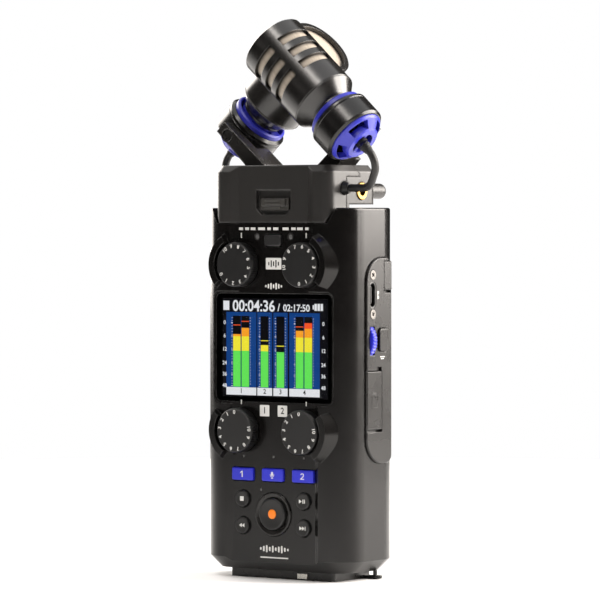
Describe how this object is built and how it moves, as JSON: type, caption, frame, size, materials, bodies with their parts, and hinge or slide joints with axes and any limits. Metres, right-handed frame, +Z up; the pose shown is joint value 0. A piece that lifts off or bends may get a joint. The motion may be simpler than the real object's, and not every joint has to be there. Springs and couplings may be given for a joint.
{
  "type": "portable field recorder",
  "caption": "Handheld audio recorder with crossed tilting microphones on a detachable capsule, colour screen, guarded gain knobs, transport keys and input sockets in its foot.",
  "frame": {"origin": "middle of the flat foot's underside", "axes": "+Z up along the recorder, +X to the user's right, screen facing -Y"},
  "size_m": [0.0908, 0.0514, 0.2088],
  "materials": {
    "case_plastic": "fine matte texture",
    "panel_plastic": "smooth satin",
    "knob_plastic": "satin with a knurled rim",
    "key_rubber": "matte rubber",
    "blue_plastic": "saturated blue, satin",
    "blue_elastomer": "blue elastomer",
    "glass": "clear cover glass",
    "display": "lit display",
    "lamp": "clear light pipes",
    "board": "green solder mask",
    "socket_plastic": "black moulded",
    "contact_metal": "plated",
    "screw_steel": "zinc plated",
    "brass": "gilt",
    "cell_wrap": "shrink wrap",
    "mic_metal": "matte black",
    "holder_plastic": "satin black",
    "mesh": "woven mesh",
    "element": "satin",
    "lead_rubber": "black jacket"
  },
  "bodies": {
    "recorder": {"front_case": "case_plastic", "rear_case": "case_plastic", "jack_housing": "panel_plastic", "input_jacks": "socket_plastic", "screen_window": "glass", "display_panel": "display", "indicator_lamps": "lamp", "main_board": "board", "gain_pots": "socket_plastic", "record_ring": "panel_plastic", "side_panel": "panel_plastic", "socket_shells": "contact_metal", "battery_cells": "cell_wrap", "battery_terminals": "contact_metal", "speaker": "socket_plastic", "tripod_bush": "brass", "case_screws": "screw_steel", "capsule_socket": "socket_plastic"},
    "capsule": {"capsule_front": "case_plastic", "capsule_back": "case_plastic", "capsule_plug": "contact_metal", "input_bush": "brass", "lead_grommets": "lead_rubber", "mic_arms": "holder_plastic", "pivot_screws": "screw_steel", "lead_left": "lead_rubber", "lead_right": "lead_rubber"},
    "mic_left": {"mic_barrel_left": "mic_metal", "mic_mesh_left": "mesh", "mic_element_left": "element", "mic_holder_left": "holder_plastic", "mic_mounts_left": "blue_elastomer"},
    "mic_right": {"mic_barrel_right": "mic_metal", "mic_mesh_right": "mesh", "mic_element_right": "element", "mic_holder_right": "holder_plastic", "mic_mounts_right": "blue_elastomer"},
    "knob_upper_left": {"knob_upper_left": "knob_plastic"},
    "knob_upper_right": {"knob_upper_right": "knob_plastic"},
    "knob_lower_left": {"knob_lower_left": "knob_plastic"},
    "knob_lower_right": {"knob_lower_right": "knob_plastic"},
    "track_button_1": {"track_button_1": "blue_plastic"},
    "track_button_mic": {"track_button_mic": "blue_plastic"},
    "track_button_2": {"track_button_2": "blue_plastic"},
    "stop_button": {"stop_button": "key_rubber"},
    "play_button": {"play_button": "key_rubber"},
    "rewind_button": {"rewind_button": "key_rubber"},
    "forward_button": {"forward_button": "key_rubber"},
    "record_button": {"record_button": "key_rubber"},
    "mode_button": {"mode_button": "panel_plastic"},
    "side_button": {"side_button": "panel_plastic"},
    "release_tab_1": {"release_tab_1": "contact_metal"},
    "release_tab_2": {"release_tab_2": "contact_metal"},
    "menu_dial": {"menu_dial": "blue_plastic"},
    "volume_wheel": {"volume_wheel": "socket_plastic"},
    "power_switch": {"power_switch": "panel_plastic"},
    "card_cover": {"card_cover": "panel_plastic"},
    "port_cover": {"port_cover": "panel_plastic"},
    "battery_cover": {"battery_cover": "case_plastic"},
    "capsule_latch": {"capsule_latch": "panel_plastic"}
  },
  "joints": [
    {"name": "knob_upper_left_turn", "type": "hinge", "parent": "recorder", "child": "knob_upper_left", "pos_m": [-0.0151, -0.0168, 0.1175], "axis": [0, 1, 0], "range_deg": [-239, 39]},
    {"name": "knob_upper_right_turn", "type": "hinge", "parent": "recorder", "child": "knob_upper_right", "pos_m": [0.0151, -0.0168, 0.1175], "axis": [0, 1, 0], "range_deg": [-179, 99]},
    {"name": "knob_lower_left_turn", "type": "hinge", "parent": "recorder", "child": "knob_lower_left", "pos_m": [-0.015, -0.0168, 0.0554], "axis": [0, 1, 0], "range_deg": [0, 278]},
    {"name": "knob_lower_right_turn", "type": "hinge", "parent": "recorder", "child": "knob_lower_right", "pos_m": [0.015, -0.0168, 0.0554], "axis": [0, 1, 0], "range_deg": [0, 278]},
    {"name": "track_button_1_press", "type": "slide", "parent": "recorder", "child": "track_button_1", "axis": [0, 1, 0], "range_m": [0, 0.0005], "stiffness_N_per_m": 2000},
    {"name": "track_button_mic_press", "type": "slide", "parent": "recorder", "child": "track_button_mic", "axis": [0, 1, 0], "range_m": [0, 0.0005], "stiffness_N_per_m": 2000},
    {"name": "track_button_2_press", "type": "slide", "parent": "recorder", "child": "track_button_2", "axis": [0, 1, 0], "range_m": [0, 0.0005], "stiffness_N_per_m": 2000},
    {"name": "stop_button_press", "type": "slide", "parent": "recorder", "child": "stop_button", "axis": [0, 1, 0], "range_m": [0, 0.0005], "stiffness_N_per_m": 2000},
    {"name": "play_button_press", "type": "slide", "parent": "recorder", "child": "play_button", "axis": [0, 1, 0], "range_m": [0, 0.0005], "stiffness_N_per_m": 2000},
    {"name": "rewind_button_press", "type": "slide", "parent": "recorder", "child": "rewind_button", "axis": [0, 1, 0], "range_m": [0, 0.0005], "stiffness_N_per_m": 2000},
    {"name": "forward_button_press", "type": "slide", "parent": "recorder", "child": "forward_button", "axis": [0, 1, 0], "range_m": [0, 0.0005], "stiffness_N_per_m": 2000},
    {"name": "record_button_press", "type": "slide", "parent": "recorder", "child": "record_button", "axis": [0, 1, 0], "range_m": [0, 0.0005], "stiffness_N_per_m": 2000},
    {"name": "mode_button_press", "type": "slide", "parent": "recorder", "child": "mode_button", "axis": [0, 1, 0], "range_m": [0, 0.0005], "stiffness_N_per_m": 2000},
    {"name": "side_button_press", "type": "slide", "parent": "recorder", "child": "side_button", "axis": [-1, 0, 0], "range_m": [0, 0.0005], "stiffness_N_per_m": 2000},
    {"name": "release_tab_1_press", "type": "slide", "parent": "recorder", "child": "release_tab_1", "axis": [0, 1, 0], "range_m": [0, 0.0006], "stiffness_N_per_m": 2000},
    {"name": "release_tab_2_press", "type": "slide", "parent": "recorder", "child": "release_tab_2", "axis": [0, -1, 0], "range_m": [0, 0.0006], "stiffness_N_per_m": 2000},
    {"name": "menu_dial_turn", "type": "hinge", "parent": "recorder", "child": "menu_dial", "pos_m": [0.029, -0.003, 0.08935], "axis": [0, 1, 0], "continuous": true},
    {"name": "volume_wheel_turn", "type": "hinge", "parent": "recorder", "child": "volume_wheel", "pos_m": [-0.0284, -0.003, 0.084], "axis": [0, 1, 0], "range_deg": [-140, 140]},
    {"name": "power_switch_slide", "type": "slide", "parent": "recorder", "child": "power_switch", "axis": [0, 0, 1], "range_m": [0, 0.004]},
    {"name": "card_cover_hinge", "type": "hinge", "parent": "recorder", "child": "card_cover", "pos_m": [0.03475, -0.0015, 0.05695], "axis": [0, 1, 0], "range_deg": [0, 95]},
    {"name": "port_cover_hinge", "type": "hinge", "parent": "recorder", "child": "port_cover", "pos_m": [0.03475, 0.0069, 0.10865], "axis": [0, 1, 0], "range_deg": [0, 95]},
    {"name": "battery_cover_hinge", "type": "hinge", "parent": "recorder", "child": "battery_cover", "pos_m": [0, 0.0184, 0.04], "axis": [-1, 0, 0], "range_deg": [0, 100]},
    {"name": "capsule_slide", "type": "slide", "parent": "recorder", "child": "capsule", "axis": [0, 0, 1], "range_m": [0, 0.012]},
    {"name": "capsule_latch_slide", "type": "slide", "parent": "capsule", "child": "capsule_latch", "axis": [0, 0, 1], "range_m": [0, 0.0018], "stiffness_N_per_m": 400},
    {"name": "mic_left_tilt", "type": "hinge", "parent": "capsule", "child": "mic_left", "pos_m": [-0.03021, 0.0001, 0.16621], "axis": [0, 1, 0], "range_deg": [0, 15], "deforming": ["lead_left"]},
    {"name": "mic_right_tilt", "type": "hinge", "parent": "capsule", "child": "mic_right", "pos_m": [0.03021, -0.0033, 0.16621], "axis": [0, -1, 0], "range_deg": [0, 15], "deforming": ["lead_right"]}
  ]
}
